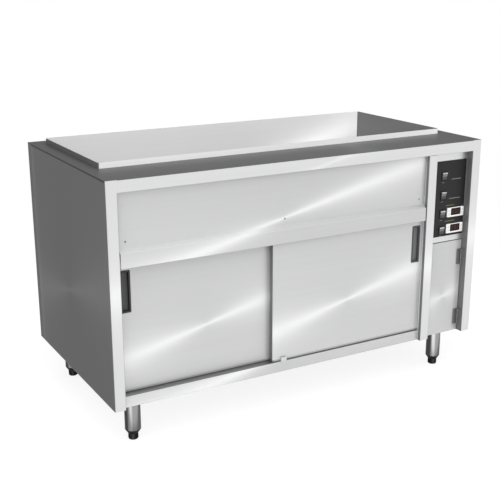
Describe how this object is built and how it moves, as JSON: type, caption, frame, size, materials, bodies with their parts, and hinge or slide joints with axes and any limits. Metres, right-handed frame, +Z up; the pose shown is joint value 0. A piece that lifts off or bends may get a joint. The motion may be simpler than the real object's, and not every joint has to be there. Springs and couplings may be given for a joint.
{
  "type": "hot cupboard",
  "caption": "Free-standing stainless steel hot cupboard with sliding doors, an open bain-marie well in the top, a recessed control panel, a hinged service door and adjustable feet.",
  "frame": {"origin": "centre of the footprint on the floor", "axes": "+X along the width to the right as seen from the front, +Y to the back, +Z up"},
  "size_m": [1.474, 0.766, 0.919],
  "materials": {
    "stainless_steel": "brushed stainless steel",
    "inner_steel": "plain mill-finish steel sheet",
    "screw_steel": "plated steel",
    "dark_steel": "dark grey coated steel",
    "black_film": "satin printed film",
    "black_plastic": "moulded plastic",
    "grey_plastic": "moulded plastic",
    "handle_plastic": "moulded plastic",
    "white_plastic": "moulded plastic",
    "red_window": "tinted display window",
    "brass": "plain brass",
    "red_paint": "dipped lever",
    "element_steel": "heat-darkened tube"
  },
  "bodies": {
    "cabinet": {"left_end_panel": "stainless_steel", "right_end_panel": "stainless_steel", "mid_stile": "stainless_steel", "rear_panel": "stainless_steel", "base_pan": "stainless_steel", "bottom_tray": "inner_steel", "worktop": "stainless_steel", "well_tank": "stainless_steel", "fascia_panel": "stainless_steel", "fascia_screws": "screw_steel", "cupboard_ceiling": "inner_steel", "left_liner": "inner_steel", "service_partition": "inner_steel", "rear_liner": "inner_steel", "inner_shelf": "inner_steel", "shelf_brackets": "inner_steel", "door_track": "inner_steel", "door_guide": "white_plastic", "control_plate": "stainless_steel", "control_overlay": "black_film", "panel_screws": "screw_steel", "switch_housings": "black_plastic", "controller_cases": "white_plastic", "controller_windows": "red_window", "leg_tubes": "stainless_steel", "leg_bolts": "screw_steel", "foot_collars": "black_plastic", "hinge_frame_leaves": "dark_steel", "hinge_pins": "screw_steel", "door_catch": "white_plastic", "drain_pipe": "stainless_steel", "drain_valve": "brass", "tank_elements": "element_steel", "cupboard_element": "element_steel", "element_guard": "inner_steel", "cable_gland": "black_plastic", "terminal_block": "white_plastic"},
    "left_door": {"left_door_skin": "stainless_steel", "left_door_liner": "inner_steel", "left_door_handle": "handle_plastic", "left_door_hangers": "screw_steel"},
    "right_door": {"right_door_skin": "stainless_steel", "right_door_liner": "inner_steel", "right_door_handle": "handle_plastic", "right_door_hangers": "screw_steel"},
    "left_roller_a": {"left_roller_a": "white_plastic"},
    "left_roller_b": {"left_roller_b": "white_plastic"},
    "right_roller_a": {"right_roller_a": "white_plastic"},
    "right_roller_b": {"right_roller_b": "white_plastic"},
    "service_door": {"service_door": "stainless_steel", "hinge_door_leaves": "dark_steel"},
    "drain_lever": {"drain_lever": "red_paint"},
    "rocker_1": {"rocker_1": "grey_plastic"},
    "rocker_2": {"rocker_2": "grey_plastic"},
    "rocker_3": {"rocker_3": "grey_plastic"},
    "rocker_4": {"rocker_4": "grey_plastic"},
    "foot_front_left": {"foot_front_left": "black_plastic"},
    "foot_front_right": {"foot_front_right": "black_plastic"},
    "foot_rear_left": {"foot_rear_left": "black_plastic"},
    "foot_rear_right": {"foot_rear_right": "black_plastic"}
  },
  "joints": [
    {"name": "left_door_slide", "type": "slide", "parent": "cabinet", "child": "left_door", "axis": [1, 0, 0], "range_m": [0, 0.548]},
    {"name": "right_door_slide", "type": "slide", "parent": "cabinet", "child": "right_door", "axis": [-1, 0, 0], "range_m": [0, 0.548]},
    {"name": "service_door_hinge", "type": "hinge", "parent": "cabinet", "child": "service_door", "pos_m": [0.6952, -0.3588, 0.33], "axis": [0, 0, 1], "range_deg": [0, 100]},
    {"name": "drain_lever_turn", "type": "hinge", "parent": "cabinet", "child": "drain_lever", "pos_m": [0.62105, -0.18466, 0.37], "axis": [0, -1, 0], "range_deg": [0, 90]},
    {"name": "left_roller_a_spin", "type": "hinge", "parent": "left_door", "child": "left_roller_a", "pos_m": [-0.607, -0.3325, 0.68805], "axis": [0, 1, 0], "continuous": true},
    {"name": "left_roller_b_spin", "type": "hinge", "parent": "left_door", "child": "left_roller_b", "pos_m": [-0.148, -0.3325, 0.68805], "axis": [0, 1, 0], "continuous": true},
    {"name": "right_roller_a_spin", "type": "hinge", "parent": "right_door", "child": "right_roller_a", "pos_m": [-0.056, -0.3565, 0.68805], "axis": [0, -1, 0], "continuous": true},
    {"name": "right_roller_b_spin", "type": "hinge", "parent": "right_door", "child": "right_roller_b", "pos_m": [0.403, -0.3565, 0.68805], "axis": [0, -1, 0], "continuous": true},
    {"name": "rocker_1_tilt", "type": "hinge", "parent": "cabinet", "child": "rocker_1", "pos_m": [0.59359, -0.3525, 0.77194], "axis": [-1, 0, 0], "range_deg": [0, 16]},
    {"name": "rocker_2_tilt", "type": "hinge", "parent": "cabinet", "child": "rocker_2", "pos_m": [0.59359, -0.3525, 0.69884], "axis": [-1, 0, 0], "range_deg": [0, 16]},
    {"name": "rocker_3_tilt", "type": "hinge", "parent": "cabinet", "child": "rocker_3", "pos_m": [0.59359, -0.3525, 0.6271], "axis": [-1, 0, 0], "range_deg": [0, 16]},
    {"name": "rocker_4_tilt", "type": "hinge", "parent": "cabinet", "child": "rocker_4", "pos_m": [0.59359, -0.3525, 0.5642], "axis": [-1, 0, 0], "range_deg": [0, 16]},
    {"name": "foot_front_left_screw", "type": "slide", "parent": "cabinet", "child": "foot_front_left", "axis": [0, 0, -1], "range_m": [0, 0.025]},
    {"name": "foot_front_right_screw", "type": "slide", "parent": "cabinet", "child": "foot_front_right", "axis": [0, 0, -1], "range_m": [0, 0.025]},
    {"name": "foot_rear_left_screw", "type": "slide", "parent": "cabinet", "child": "foot_rear_left", "axis": [0, 0, -1], "range_m": [0, 0.025]},
    {"name": "foot_rear_right_screw", "type": "slide", "parent": "cabinet", "child": "foot_rear_right", "axis": [0, 0, -1], "range_m": [0, 0.025]}
  ],
  "couplings": [
    {"joint": "left_roller_a_spin", "follows": "left_door_slide", "rad_per_m": 125},
    {"joint": "left_roller_b_spin", "follows": "left_door_slide", "rad_per_m": 125},
    {"joint": "right_roller_a_spin", "follows": "right_door_slide", "rad_per_m": 125},
    {"joint": "right_roller_b_spin", "follows": "right_door_slide", "rad_per_m": 125}
  ]
}
